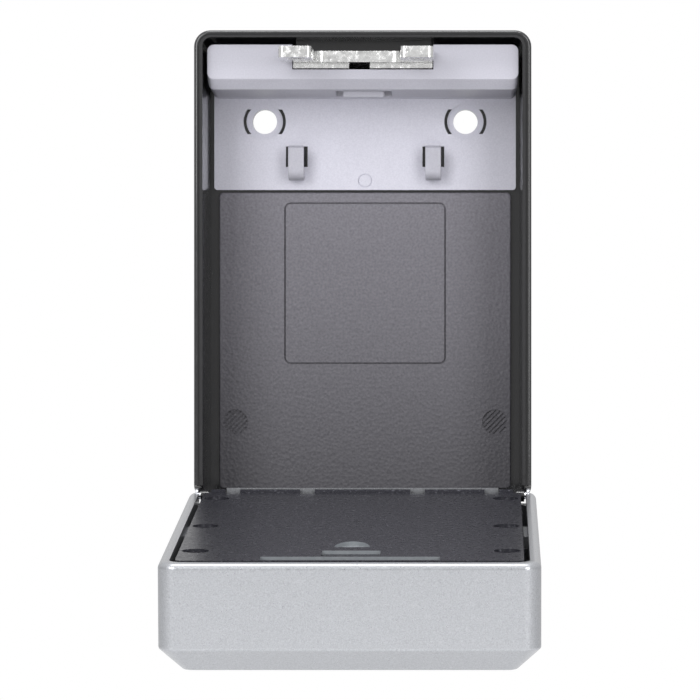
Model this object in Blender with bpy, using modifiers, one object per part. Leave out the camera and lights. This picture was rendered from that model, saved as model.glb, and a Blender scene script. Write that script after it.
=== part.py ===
"""Wall-mounted key lock box with a fold-down cover, a combination dial and a latch.

Millimetres throughout, turned into metres when a mesh is made. The origin is the centre of the
flat rear face, +X right, +Y into the wall, +Z up. Cover pieces are described as if the cover
were shut, then hang from a pivot on the hinge axis that lays the cover open.
"""

import math

import bmesh
import bpy
from mathutils import Matrix, Vector

MM = 0.001
GAP = 0.3
WELD = 0.0001
SMOOTH_ANGLE = math.radians(30.0)
# Each axis with its outline's u and v laid on the other two, in order.
AXES = {
    "X": Matrix(((0, 0, 1, 0), (1, 0, 0, 0), (0, 1, 0, 0), (0, 0, 0, 1))),
    "Y": Matrix(((1, 0, 0, 0), (0, 0, 1, 0), (0, 1, 0, 0), (0, 0, 0, 1))),
    "Z": Matrix.Identity(4),
}

# wall body
BODY_X = 51.6
BODY_Z = 72.1
BODY_DEPTH = 34.0
BODY_CORNER = 5.0
BACK_WALL = 3.0
CAVITY_X = 48.85
CAVITY_TOP = 69.8
CAVITY_FLOOR = -69.9
CAVITY_DRAFT = 0.85
LIP_OUTER_X = 49.7
LIP_TOP = 70.45
LIP_REACH = 36.0
LIP_FOOT = -64.0
FIXING_X = 31.3
FIXING_Z = 45.5
FIXING_R = 3.8
LOWER_FIXING_X = 40.5
LOWER_FIXING_Z = -48.2

# hinge
HINGE_Y = -35.0
HINGE_Z = -70.2
OPEN_ANGLE = 96.1
PIN_R = 1.1
EAR_R = 1.85
EAR_IN = 47.0
EAR_OUT = 49.4
RELIEF_R = 3.3

# hook panel and liner
PANEL_X = 47.0
PANEL_Y = -5.0
PANEL_BACK = -BACK_WALL - GAP
PANEL_BOTTOM = 24.2
PANEL_TOP = 67.8
BOX_FRONT = -32.0
BOX_FRONT_X = 47.6
BOX_FRONT_BOTTOM = 57.2
BOX_UNDER_FRONT = 54.2
BOX_UNDER_BACK = 52.6
WINDOW_X = 21.6
WINDOW_BOTTOM = 60.2
HOOK_X = 21.3
HOOK_WIDTH = 4.9
HOOK_TOP = 37.8
HOOK_FOOT = 27.2
HOOK_FLOOR = 31.4
HOOK_INNER_Y = -9.9
HOOK_OUTER_Y = -11.8
LINER_X = 45.5
LINER_TOP = 23.4
LINER_BOTTOM = -69.0

# strike
STRIKE_LOW = 62.2
STRIKE_HIGH = 65.6
STRIKE_FRONT = -36.0
STRIKE_NECK_X = 21.2
PRONG_TIP = -60.0
PRONGS = ((-24.7, -14.7), (12.0, 21.9))
KEEPER_Y = -52.0
KEEPER_HALF = 2.5
FLANGES = ((-21.3, -4.2), (2.2, 21.3))
STRIKE_SCREW_X = 14.0
STRIKE_SCREW_Y = -14.0

# cover
DOOR_X = 53.0
DOOR_Z = 73.0
RIM_Y = -34.0
FACE_Y = -65.0
DOOR_CHAMFER = 6.7
DOOR_INNER_X = 49.9
DOOR_INNER_LOW = -70.4
DOOR_INNER_TOP = 70.75
RIM_ROUND = 2.0
PLATE_X = 48.25
PLATE_LOW = -69.5
PLATE_TOP = 69.3
PLATE_FRONT = -33.8
PLATE_BACK = -36.2
DOOR_SCREW_X = 43.6
DOOR_SCREW_Z = (-55.5, 2.5, 51.0)
NOTCH_X = (-39.5, -16.8, 16.8, 39.5)
NOTCH_HALF = 2.25
PLATE_LIP = -32.95
THUMB_FLAT = 44.0
THUMB_LENGTH = 11.0
CODE_LOW = 50.6
CODE_HIGH = 60.6

# front bay, dials and latch
BAY_X = 24.0
BAY_RAIL_X = 25.5
BAY_LOW = -31.2
BAY_TOP = 47.6
BAY_FLOOR = -62.0
RAIL_Y = -63.6
COVER_LENGTH = 38.8
WHEEL_COUNT = 4
WHEEL_PITCH = 6.2
WHEEL_HALF = 2.4
WHEEL_R = 9.8
WHEEL_BORE = 4.6
WHEEL_Y = -53.4
WHEEL_Z = 20.0
SHAFT_R = 1.5
LUG_IN = 16.6
LUG_OUT = 18.6
LATCH_X = 24.0
LATCH_FRONT = -53.5
LATCH_BACK = -50.5
LATCH_LOW = 37.0
LATCH_HIGH = 56.0
FINGER_HIGH = 65.2
SPRING_X = 22.3
SPRING_Y = -52.0
SPRING_LOW = 19.8

PAINTS = {
    "black_cast": ((0.012, 0.012, 0.014, 1.0), 0.6, 0.25),
    "silver_paint": ((0.52, 0.52, 0.56, 1.0), 0.7, 0.38),
    "light_plastic": ((0.56, 0.55, 0.62, 1.0), 0.0, 0.45),
    "dark_liner": ((0.10, 0.095, 0.12, 1.0), 0.0, 0.6),
    "zinc": ((0.72, 0.72, 0.74, 1.0), 1.0, 0.25),
    "black_satin": ((0.05, 0.05, 0.06, 1.0), 0.0, 0.5),
    "steel": ((0.60, 0.60, 0.62, 1.0), 1.0, 0.3),
    "dark_steel": ((0.06, 0.06, 0.065, 1.0), 1.0, 0.3),
}


def clear_file():
    for old in list(bpy.data.objects):
        bpy.data.objects.remove(old, do_unlink=True)


def new_collection(name):
    made = bpy.data.collections.new(name)
    bpy.context.scene.collection.children.link(made)
    return made


clear_file()
PARTS = new_collection("key_lock_box")
TOOLS = new_collection("cutters")
TOOLS.hide_render = True


def paint(name):
    """One Principled material for each finish, made once."""
    if name in bpy.data.materials:
        return bpy.data.materials[name]
    colour, metallic, roughness = PAINTS[name]
    made = bpy.data.materials.new(name)
    made.use_nodes = True
    shader = made.node_tree.nodes["Principled BSDF"]
    shader.inputs["Base Color"].default_value = colour
    shader.inputs["Metallic"].default_value = metallic
    shader.inputs["Roughness"].default_value = roughness
    made.diffuse_color = colour
    return made


def rounded(u_low, u_high, v_low, v_high, radius, steps=4):
    """Outline of a rounded rectangle, anticlockwise."""
    corners = (
        (u_high - radius, v_high - radius, 0.0),
        (u_low + radius, v_high - radius, 90.0),
        (u_low + radius, v_low + radius, 180.0),
        (u_high - radius, v_low + radius, 270.0),
    )
    points = []
    for u, v, start in corners:
        for step in range(steps + 1):
            angle = math.radians(start + 90.0 * step / steps)
            points.append((u + radius * math.cos(angle), v + radius * math.sin(angle)))
    return points


def rectangle(u_low, u_high, v_low, v_high):
    return [(u_high, v_high), (u_low, v_high), (u_low, v_low), (u_high, v_low)]


def circle(u, v, radius, sides=24):
    turn = 2.0 * math.pi / sides
    return [(u + radius * math.cos(turn * k), v + radius * math.sin(turn * k)) for k in range(sides)]


def arc(u, v, radius, start, end, steps):
    """Points on an arc, both ends included, angles in degrees."""
    points = []
    for step in range(steps + 1):
        angle = math.radians(start + (end - start) * step / steps)
        points.append((u + radius * math.cos(angle), v + radius * math.sin(angle)))
    return points


def block(x_low, x_high, y_low, y_high, z_low, z_high):
    """A box, from a cube whose corners are moved to the box's own."""
    lows = (x_low, y_low, z_low)
    highs = (x_high, y_high, z_high)

    def build(bm):
        for vert in bmesh.ops.create_cube(bm, size=1.0)["verts"]:
            sides = zip(vert.co, lows, highs)
            vert.co = Vector([high if share > 0.0 else low for share, low, high in sides])

    return build


def rod(axis, u, v, radius, low, high, sides=24):
    """A straight cylinder along an axis, between two levels."""

    def build(bm):
        made = bmesh.ops.create_cone(
            bm, cap_ends=True, segments=sides, radius1=radius, radius2=radius, depth=1.0
        )
        for vert in made["verts"]:
            level = high if vert.co.z > 0.0 else low
            vert.co = AXES[axis] @ Vector((u + vert.co.x, v + vert.co.y, level))

    return build


def turned(axis, u, v, profile, sides=24, hollow=False):
    """A body spun from (radius, level) pairs, capped at both ends unless it is hollow."""
    place = AXES[axis] @ Matrix.Translation((u, v, 0.0))

    def build(bm):
        points = [bm.verts.new(place @ Vector((radius, 0.0, level))) for radius, level in profile]
        lines = [bm.edges.new(pair) for pair in zip(points, points[1:])]
        if hollow:
            lines.append(bm.edges.new((points[-1], points[0])))
        bmesh.ops.spin(
            bm,
            geom=points + lines,
            cent=place.translation,
            axis=place.to_3x3() @ Vector((0.0, 0.0, 1.0)),
            angle=2.0 * math.pi,
            steps=sides,
            use_merge=True,
        )
        bmesh.ops.holes_fill(bm, edges=[edge for edge in bm.edges if edge.is_boundary], sides=0)

    return build


def outline_curve(outlines, thickness):
    """A filled flat curve, its first outline pierced by the others."""
    curve = bpy.data.curves.new("outline", "CURVE")
    curve.dimensions = "2D"
    curve.fill_mode = "BOTH"
    curve.extrude = thickness / 2.0
    for points in outlines:
        line = curve.splines.new("POLY")
        line.points.add(len(points) - 1)
        line.use_cyclic_u = True
        for target, (u, v) in zip(line.points, points):
            target.co = (u, v, 0.0, 1.0)
    return curve


def prism(axis, outline, low, high, hole=None):
    """A flat outline, with or without a hole, made thick between two levels."""
    outlines = [outline] if hole is None else [outline, hole]

    def build(bm):
        curve = outline_curve(outlines, abs(high - low))
        holder = bpy.data.objects.new("outline", curve)
        mesh = bpy.data.meshes.new_from_object(holder)
        piece = bmesh.new()
        piece.from_mesh(mesh)
        bmesh.ops.remove_doubles(piece, verts=piece.verts[:], dist=WELD)
        if hole is None:
            for side in (-1.0, 1.0):
                caps = [face for face in piece.faces if all(vert.co.z * side > 0.0 for vert in face.verts)]
                bmesh.ops.dissolve_faces(piece, faces=caps)
        for vert in piece.verts:
            level = high if vert.co.z > 0.0 else low
            vert.co = AXES[axis] @ Vector((vert.co.x, vert.co.y, level))
        piece.to_mesh(mesh)
        piece.free()
        bm.from_mesh(mesh)
        bpy.data.objects.remove(holder)
        bpy.data.curves.remove(curve)
        bpy.data.meshes.remove(mesh)

    return build


def loft(axis, sections):
    """A capped body through unlike outlines of one point count, each with its level."""
    place = AXES[axis]

    def build(bm):
        rings = []
        for outline, level in sections:
            rings.append([bm.verts.new(place @ Vector((u, v, level))) for u, v in outline])
        bm.faces.new(rings[0])
        bm.faces.new(rings[-1])
        for first, second in zip(rings, rings[1:]):
            count = len(first)
            for k in range(count):
                after = (k + 1) % count
                bm.faces.new((first[k], first[after], second[after], second[k]))

    return build


def shape(name, bodies):
    """A mesh object from bodies that don't touch one another, its round faces shaded smooth."""
    bm = bmesh.new()
    for build in bodies:
        build(bm)
    bm.normal_update()
    bmesh.ops.recalc_face_normals(bm, faces=bm.faces[:])
    bmesh.ops.scale(bm, vec=(MM, MM, MM), verts=bm.verts[:])
    mesh = bpy.data.meshes.new(name)
    bm.to_mesh(mesh)
    bm.free()
    mesh.shade_smooth()
    mesh.set_sharp_from_angle(angle=SMOOTH_ANGLE)
    return bpy.data.objects.new(name, mesh)


def make_pivot():
    """Empty on the hinge axis that lays the whole cover open."""
    pivot = bpy.data.objects.new("door_pivot", None)
    pivot.location = Vector((0.0, HINGE_Y, HINGE_Z)) * MM
    pivot.rotation_euler = (math.radians(OPEN_ANGLE), 0.0, 0.0)
    pivot.empty_display_size = 0.02
    PARTS.objects.link(pivot)
    return pivot


PIVOT = make_pivot()


def part(name, bodies, finish, on_door=False, origin=(0.0, 0.0, 0.0)):
    """A named piece with its origin at a point of the closed layout."""
    made = shape(name, bodies)
    shift = Vector(origin) * MM
    made.data.transform(Matrix.Translation(-shift))
    made.location = shift
    if on_door:
        made.parent = PIVOT
        made.location = shift - PIVOT.location
    made.data.materials.append(paint(finish))
    PARTS.objects.link(made)
    return made


def apply_tool(target, name, bodies, operation):
    """Add or take away shapes that stay live as a Boolean modifier."""
    tool = shape(name, bodies)
    if target.parent is not None:
        tool.parent = PIVOT
        tool.location = -PIVOT.location
    tool.hide_render = True
    tool.display_type = "WIRE"
    TOOLS.objects.link(tool)
    modifier = target.modifiers.new(name, "BOOLEAN")
    modifier.operation = operation
    modifier.object = tool
    modifier.solver = "EXACT"


def cut(target, name, bodies):
    apply_tool(target, target.name + "_cut_" + name, bodies, "DIFFERENCE")


def add(target, name, bodies):
    apply_tool(target, target.name + "_add_" + name, bodies, "UNION")


# ---------------------------------------------------------------- wall body


def housing_sections():
    """Outer form of the cast body, its edges eased front and rear."""
    sections = []
    for inset, level in ((0.8, 0.0), (0.0, -0.8), (0.0, -33.2), (0.35, -33.8), (0.9, -BODY_DEPTH)):
        outline = rounded(-BODY_X + inset, BODY_X - inset, -BODY_Z + inset, BODY_Z - inset, BODY_CORNER)
        sections.append((outline, level))
    return sections


def lip_outline():
    """Upturned U that runs up both sides and across the top."""
    inner = CAVITY_X - 0.4
    top = CAVITY_TOP - 0.4
    outer = arc(LIP_OUTER_X - 3.4, LIP_TOP - 3.4, 3.4, 0.0, 90.0, 4)
    outer += arc(-LIP_OUTER_X + 3.4, LIP_TOP - 3.4, 3.4, 90.0, 180.0, 4)
    outer = [(LIP_OUTER_X, LIP_FOOT)] + outer + [(-LIP_OUTER_X, LIP_FOOT)]
    inside = arc(-inner + 2.4, top - 2.4, 2.4, 180.0, 90.0, 4)
    inside += arc(inner - 2.4, top - 2.4, 2.4, 90.0, 0.0, 4)
    return outer + [(-inner, LIP_FOOT)] + inside + [(inner, LIP_FOOT)]


def cavity_sections():
    """Drafted interior, narrowing slightly toward the rear."""
    sections = []
    for narrowing, level in ((0.0, -37.0), (0.0, -BODY_DEPTH), (CAVITY_DRAFT, -BACK_WALL)):
        half = CAVITY_X - narrowing
        sections.append((rounded(-half, half, CAVITY_FLOOR, CAVITY_TOP - narrowing, 2.6), level))
    return sections


def ear_outline():
    nose = arc(HINGE_Y, HINGE_Z, EAR_R, 90.0, 270.0, 8)
    return nose + [(-30.5, HINGE_Z - EAR_R), (-30.5, HINGE_Z + EAR_R)]


def fixing_holes():
    holes = []
    for side in (-1, 1):
        holes.append(rod("Y", side * FIXING_X, FIXING_Z, FIXING_R, -4.0, 1.0, 32))
        holes.append(rod("Y", side * LOWER_FIXING_X, LOWER_FIXING_Z, 3.0, -4.0, 1.0))
    return holes


def make_housing():
    housing = part("housing", [loft("Y", housing_sections())], "black_cast")
    add(housing, "lip", [prism("Y", lip_outline(), -33.5, -LIP_REACH)])
    cut(housing, "cavity", [loft("Y", cavity_sections())])
    relief_low = block(-53.0, 53.0, -38.0, -31.7, -74.0, -69.0)
    cut(housing, "hinge_relief", [relief_low])
    cut(housing, "hinge_sweep", [rod("X", HINGE_Y, HINGE_Z, RELIEF_R, -53.5, 53.5, 36)])
    cut(housing, "fixings", fixing_holes())
    add(housing, "boss", [block(-20.8, 20.8, -22.0, -6.0, 66.0, 70.6)])
    pilot = [rod("Z", s * STRIKE_SCREW_X, STRIKE_SCREW_Y, 1.8, 65.0, 69.3, 16) for s in (-1, 1)]
    cut(housing, "pilots", pilot)
    ears = [prism("X", ear_outline(), s * EAR_IN, s * EAR_OUT) for s in (-1, 1)]
    add(housing, "ears", ears)
    bores = [rod("X", HINGE_Y, HINGE_Z, PIN_R + 0.05, s * 46.5, s * 49.9) for s in (-1, 1)]
    cut(housing, "pin_bores", bores)


def make_hinge_pins():
    for side, label in ((-1, "left"), (1, "right")):
        levels = ((PIN_R - 0.2, 46.7), (PIN_R, 46.9), (PIN_R, 50.5), (PIN_R - 0.2, 50.7))
        steps = [(radius, side * level) for radius, level in levels]
        part("hinge_pin_" + label, [turned("X", HINGE_Y, HINGE_Z, steps)], "steel")


def box_sections():
    """Raised box of the hook panel, its underside stepping forward and up."""
    levels = (
        (PANEL_BACK, PANEL_X, BOX_UNDER_BACK),
        (PANEL_Y, PANEL_X, BOX_UNDER_BACK),
        (-29.5, BOX_FRONT_X - 0.1, BOX_UNDER_FRONT),
        (BOX_FRONT + 0.3, BOX_FRONT_X, BOX_FRONT_BOTTOM - 0.2),
        (BOX_FRONT, BOX_FRONT_X - 0.3, BOX_FRONT_BOTTOM + 0.1),
    )
    return [(rounded(-half, half, low, PANEL_TOP, 2.0), level) for level, half, low in levels]


def box_hollow():
    outline = [(-2.0, 55.0), (-28.6, 55.8), (-30.4, 58.0), (-30.4, 66.3), (-2.0, 66.3)]
    return prism("X", outline, -45.8, 45.8)


def crescent(centre_u, centre_v, inner, outer, half_height, side):
    """Arc-shaped slot beside a round pad, cut flat above and below."""
    wide = math.degrees(math.asin(half_height / outer))
    narrow = math.degrees(math.asin(half_height / inner))
    middle = 0.0 if side > 0 else 180.0
    far = arc(centre_u, centre_v, outer, middle - wide, middle + wide, 8)
    near = arc(centre_u, centre_v, inner, middle + narrow, middle - narrow, 8)
    return far + near


def make_hook_panel():
    panel = part("hook_panel", [loft("Y", box_sections())], "light_plastic")
    add(panel, "plate", [block(-PANEL_X, PANEL_X, PANEL_Y, PANEL_BACK, PANEL_BOTTOM, 54.0)])
    add(panel, "tab", [block(-6.2, 6.2, -24.0, -21.0, 52.25, 54.6)])
    cut(panel, "hollow", [box_hollow()])
    cut(panel, "window", [block(-WINDOW_X, WINDOW_X, -34.0, -2.5, WINDOW_BOTTOM, 69.0)])
    slots = [block(s * 7.45 - 1.15, s * 7.45 + 1.15, -25.0, -12.0, 51.0, 57.0) for s in (-1, 1)]
    cut(panel, "tab_slots", slots)
    cores = []
    crescents = []
    holes = []
    pads = []
    for side in (-1, 1):
        cores.append(block(side * HOOK_X - 3.4, side * HOOK_X + 3.4, -6.0, -2.5, HOOK_FLOOR, HOOK_TOP))
        holes.append(rod("Y", side * FIXING_X, FIXING_Z, FIXING_R, -6.0, -2.5, 32))
        pads.append(rod("Y", side * FIXING_X, FIXING_Z, 5.45, -6.0, PANEL_Y + 0.6, 32))
        for way in (-1, 1):
            outline = crescent(side * FIXING_X, FIXING_Z, 5.65, 6.6, 3.85, way)
            crescents.append(prism("Y", outline, -6.0, -2.5))
    cut(panel, "hook_cores", cores)
    cut(panel, "holes", holes)
    cut(panel, "pads", pads)
    cut(panel, "crescents", crescents)
    cut(panel, "mark", [rod("Y", 0.0, 27.1, 2.05, -6.0, PANEL_Y + 0.25)])


def hook_outline():
    """Side view of a hook: a root at the panel, a rounded floor and an upright tongue."""
    root = PANEL_Y - GAP
    throat = 1.6
    outline = [(root, HOOK_FOOT), (HOOK_OUTER_Y + 3.0, HOOK_FOOT)]
    outline += arc(HOOK_OUTER_Y + 3.0, HOOK_FOOT + 3.0, 3.0, 270.0, 180.0, 5)[1:]
    outline += [(HOOK_OUTER_Y, HOOK_TOP - 0.8), (HOOK_OUTER_Y + 0.8, HOOK_TOP)]
    outline += [(HOOK_INNER_Y - 0.4, HOOK_TOP), (HOOK_INNER_Y, HOOK_TOP - 0.4)]
    outline += arc(HOOK_INNER_Y + throat, HOOK_FLOOR - 1.0 + throat, throat, 180.0, 270.0, 4)
    outline += [(root, HOOK_FLOOR - 1.0)]
    return outline


def make_hooks():
    for side, label in ((-1, "left"), (1, "right")):
        low = side * HOOK_X - HOOK_WIDTH / 2.0
        body = prism("X", hook_outline(), low, low + HOOK_WIDTH)
        hook = part("key_hook_" + label, [body], "light_plastic")
        bevel = hook.modifiers.new("ease", "BEVEL")
        bevel.width = 0.4 * MM
        bevel.segments = 1
        bevel.limit_method = "ANGLE"
        bevel.angle_limit = math.radians(50.0)


def make_liner():
    outer = rounded(-LINER_X, LINER_X, LINER_BOTTOM, LINER_TOP, 1.2, 2)
    eased = rounded(-LINER_X + 0.3, LINER_X - 0.3, LINER_BOTTOM + 0.3, LINER_TOP - 0.3, 1.0, 2)
    levels = [(outer, PANEL_BACK), (outer, PANEL_Y + 0.3), (eased, PANEL_Y)]
    liner = part("back_liner", [loft("Y", levels)], "dark_liner")
    outside = rounded(-25.2, 25.2, -30.1, 20.3, 2.0, 3)
    inside = rounded(-24.7, 24.7, -29.6, 19.8, 1.6, 3)
    cut(liner, "outline", [prism("Y", outside, -6.0, PANEL_Y + 0.3, inside)])
    discs = [rod("Y", s * LOWER_FIXING_X, LOWER_FIXING_Z, 3.95, -6.0, PANEL_Y + 0.3) for s in (-1, 1)]
    cut(liner, "discs", discs)


def strike_outline():
    """Forked plate seen from above: a neck in the body and two prongs toward the cover."""
    (left_out, left_in), (right_in, right_out) = PRONGS
    fillet = 3.0
    outline = [(STRIKE_NECK_X, -8.0), (STRIKE_NECK_X, -32.4), (right_out, -33.2)]
    outline += arc(right_out - 1.5, PRONG_TIP + 1.5, 1.5, 0.0, -90.0, 3)
    outline += arc(right_in + 1.5, PRONG_TIP + 1.5, 1.5, 270.0, 180.0, 3)
    outline += arc(right_in - fillet, STRIKE_FRONT - fillet, fillet, 0.0, 90.0, 4)
    outline += arc(left_in + fillet, STRIKE_FRONT - fillet, fillet, 90.0, 180.0, 4)
    outline += arc(left_in - 1.5, PRONG_TIP + 1.5, 1.5, 0.0, -90.0, 3)
    outline += arc(left_out + 1.5, PRONG_TIP + 1.5, 1.5, 270.0, 180.0, 3)
    outline += [(left_out, -35.4), (-STRIKE_NECK_X, -32.6), (-STRIKE_NECK_X, -8.0)]
    return outline


def flange_bodies():
    """Two short bars under the neck that line the window's lower edge."""
    side = [(-33.2, 60.5), (-33.2, 61.7), (-31.5, 61.7), (-31.5, STRIKE_LOW + 0.5)]
    side += [(-29.0, STRIKE_LOW + 0.5), (-29.0, 60.5)]
    return [prism("X", side, low, high) for low, high in FLANGES]


def make_strike():
    strike = part("strike_plate", [prism("Z", strike_outline(), STRIKE_LOW, STRIKE_HIGH)], "zinc")
    keepers = []
    for inner, outer in PRONGS:
        middle = (inner + outer) / 2.0
        keepers.append(
            block(
                middle - KEEPER_HALF,
                middle + KEEPER_HALF,
                KEEPER_Y - KEEPER_HALF,
                KEEPER_Y + KEEPER_HALF,
                STRIKE_LOW - 1.0,
                STRIKE_HIGH + 1.0,
            )
        )
    cut(strike, "keepers", keepers)
    add(strike, "flange", flange_bodies())
    bores = [rod("Z", s * STRIKE_SCREW_X, STRIKE_SCREW_Y, 1.8, 60.0, 67.0, 16) for s in (-1, 1)]
    cut(strike, "screw_bores", bores)
    for side, label in ((-1, "left"), (1, "right")):
        steps = [(2.4, 60.3), (2.8, 60.7), (2.8, 61.9), (1.5, 61.9), (1.5, 68.4), (1.1, 69.0)]
        body = turned("Z", side * STRIKE_SCREW_X, STRIKE_SCREW_Y, steps, 16)
        screw = part("strike_screw_" + label, [body], "steel")
        x = side * STRIKE_SCREW_X
        cut(screw, "drive", [rod("Z", x, STRIKE_SCREW_Y, 1.2, 60.0, 61.2, 6)])


# ------------------------------------------------------------------- cover


def shell_sections():
    """Cover from rim to face: rounded rim edge, straight wall, bevelled face."""
    sections = []
    for angle in (0.0, 30.0, 60.0, 90.0):
        turn = math.radians(angle)
        inset = RIM_ROUND * (1.0 - math.sin(turn))
        sections.append((inset, RIM_Y - RIM_ROUND * (1.0 - math.cos(turn))))
    sections += [(0.0, FACE_Y + DOOR_CHAMFER), (DOOR_CHAMFER, FACE_Y)]
    made = []
    for inset, level in sections:
        radius = max(BODY_CORNER - inset, 2.0)
        outline = rounded(-DOOR_X + inset, DOOR_X - inset, -DOOR_Z + inset, DOOR_Z - inset, radius)
        made.append((outline, level))
    return made


def shell_hollow():
    sections = []
    for inset, level in ((0.0, -32.0), (0.0, FACE_Y + 7.3), (4.8, FACE_Y + 2.5)):
        outline = rounded(
            -DOOR_INNER_X + inset,
            DOOR_INNER_X - inset,
            DOOR_INNER_LOW + inset,
            DOOR_INNER_TOP - inset,
            4.0,
        )
        sections.append((outline, level))
    return sections


def wheel_centres():
    first = -WHEEL_PITCH * (WHEEL_COUNT - 1) / 2.0
    return [first + WHEEL_PITCH * k for k in range(WHEEL_COUNT)]


def knuckle_outline():
    """Low mound on the rim that holds the end of a hinge pin."""
    foot = -34.6
    lower = [(foot, -72.0), (-33.6, -71.6), (-32.9, -70.9), (-32.7, -70.2)]
    return lower + [(-32.9, -69.4), (-33.6, -68.6), (foot, -68.2)]


def make_door_shell():
    shell = part("door_shell", [loft("Y", shell_sections())], "silver_paint", True)
    cut(shell, "hollow", [loft("Y", shell_hollow())])
    add(shell, "bay_wall", [block(-28.0, 28.0, FACE_Y + 2.0, FACE_Y + 5.0, -34.0, 50.5)])
    bosses = []
    threads = []
    for z in DOOR_SCREW_Z:
        for side in (-1, 1):
            bosses.append(rod("Y", side * DOOR_SCREW_X, z, 3.3, FACE_Y + 2.0, -36.5, 20))
            threads.append(rod("Y", side * DOOR_SCREW_X, z, 1.7, -48.0, -36.0, 16))
    add(shell, "bosses", bosses)
    cut(shell, "threads", threads)
    bay = [(-BAY_RAIL_X, BAY_FLOOR), (-BAY_RAIL_X, RAIL_Y), (-BAY_X, RAIL_Y), (-BAY_X, FACE_Y - 2.0)]
    bay += [(BAY_X, FACE_Y - 2.0), (BAY_X, RAIL_Y), (BAY_RAIL_X, RAIL_Y), (BAY_RAIL_X, BAY_FLOOR)]
    cut(shell, "bay", [prism("Z", bay, BAY_LOW, BAY_TOP)])
    openings = [block(-3.4, 3.4, BAY_FLOOR - 0.6, BAY_FLOOR + 3.0, 31.7, 42.3)]
    for x in wheel_centres():
        low, high = WHEEL_Z - 8.0, WHEEL_Z + 8.0
        openings.append(block(x - 2.8, x + 2.8, BAY_FLOOR - 0.6, BAY_FLOOR + 3.0, low, high))
    cut(shell, "openings", openings)
    inner_posts = []
    for side in (-1, 1):
        low, high = sorted((side * LUG_IN, side * LUG_OUT))
        inner_posts.append(block(low, high, BAY_FLOOR + 1.5, -43.2, 8.0, 24.0))
        low, high = sorted((side * 20.0, side * 25.0))
        inner_posts.append(block(low, high, BAY_FLOOR + 1.5, -49.5, 17.0, 19.5))
        low, high = sorted((side * (LATCH_X + 0.4), side * (LATCH_X + 2.4)))
        inner_posts.append(block(low, high, BAY_FLOOR + 1.5, -49.5, 38.0, 58.0))
        low, high = sorted((side * 48.6, side * 50.4))
        inner_posts.append(block(low, high, -40.0, -36.4, -14.0, 6.0))
    add(shell, "posts", inner_posts)
    cut(shell, "shaft_bores", [rod("X", WHEEL_Y, WHEEL_Z, SHAFT_R + GAP, -20.0, 20.0)])
    add(shell, "tongue", [block(-41.5, 41.5, -36.0, -32.7, -71.4, -70.1)])
    notches = []
    knuckles = []
    bores = []
    for side in (-1, 1):
        low, high = sorted((side * 46.7, side * 50.0))
        notches.append(block(low, high, -37.7, -30.0, -75.0, -67.0))
        low, high = sorted((side * 50.15, side * 51.0))
        knuckles.append(prism("X", knuckle_outline(), low, high))
        bores.append(rod("X", HINGE_Y, HINGE_Z, PIN_R + 0.07, side * 49.0, side * 50.9))
    cut(shell, "ear_notches", notches)
    add(shell, "knuckles", knuckles)
    cut(shell, "pin_bores", bores)


def plate_outline():
    """Inner plate of the cover, its hinge corners stepped around the ears."""
    step_x = 46.4
    step_z = -67.6
    edge = []
    for x in NOTCH_X:
        low, high = x - NOTCH_HALF, x + NOTCH_HALF
        edge += [(low, PLATE_LOW), (low, PLATE_LOW + 3.8), (high, PLATE_LOW + 3.8), (high, PLATE_LOW)]
    outline = [(-step_x, PLATE_LOW)] + edge + [(step_x, PLATE_LOW), (step_x, step_z), (PLATE_X, step_z)]
    outline += arc(PLATE_X - 2.0, PLATE_TOP - 2.0, 2.0, 0.0, 90.0, 3)
    outline += arc(-PLATE_X + 2.0, PLATE_TOP - 2.0, 2.0, 90.0, 180.0, 3)
    return outline + [(-PLATE_X, step_z), (-step_x, step_z)]


def plate_lip():
    """Low lip along the plate's hinge edge, in lengths between the notches."""
    ends = [-46.0]
    for x in NOTCH_X:
        ends += [x - NOTCH_HALF, x + NOTCH_HALF]
    ends.append(46.0)
    foot = PLATE_FRONT - 0.4
    side = [(foot, PLATE_LOW), (PLATE_LIP, PLATE_LOW), (PLATE_LIP, PLATE_LOW + 0.8), (foot, PLATE_LOW + 3.4)]
    return [prism("X", side, low, high) for low, high in zip(ends[::2], ends[1::2])]


def thumb_outline(steps):
    """Half oval, round toward the hinge and flat toward the free end."""
    points = []
    for step in range(steps + 1):
        angle = math.radians(180.0 + 180.0 * step / steps)
        points.append((5.0 * math.cos(angle), THUMB_FLAT + THUMB_LENGTH * math.sin(angle)))
    return points


def make_back_plate():
    body = prism("Y", plate_outline(), PLATE_BACK, PLATE_FRONT)
    plate = part("door_back_plate", [body], "black_satin", True)
    recesses = []
    bores = []
    for z in DOOR_SCREW_Z:
        for side in (-1, 1):
            recesses.append(rod("Y", side * DOOR_SCREW_X, z, 3.85, PLATE_BACK + 0.6, -33.0))
            bores.append(rod("Y", side * DOOR_SCREW_X, z, 1.7, -37.0, -33.0, 16))
    add(plate, "lip", plate_lip())
    cut(plate, "recesses", recesses)
    cut(plate, "bores", bores)
    slots = [
        block(-24.9, 24.9, -37.0, -33.0, 62.0, 68.2),
        block(-8.2, 8.2, -37.0, -33.0, CODE_LOW, CODE_HIGH),
        rod("Y", 0.0, -6.0, 1.0, -37.0, -33.0, 12),
    ]
    cut(plate, "slots", slots)
    cut(plate, "thumb", [prism("Y", thumb_outline(12), PLATE_FRONT - 1.2, -33.0)])


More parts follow.
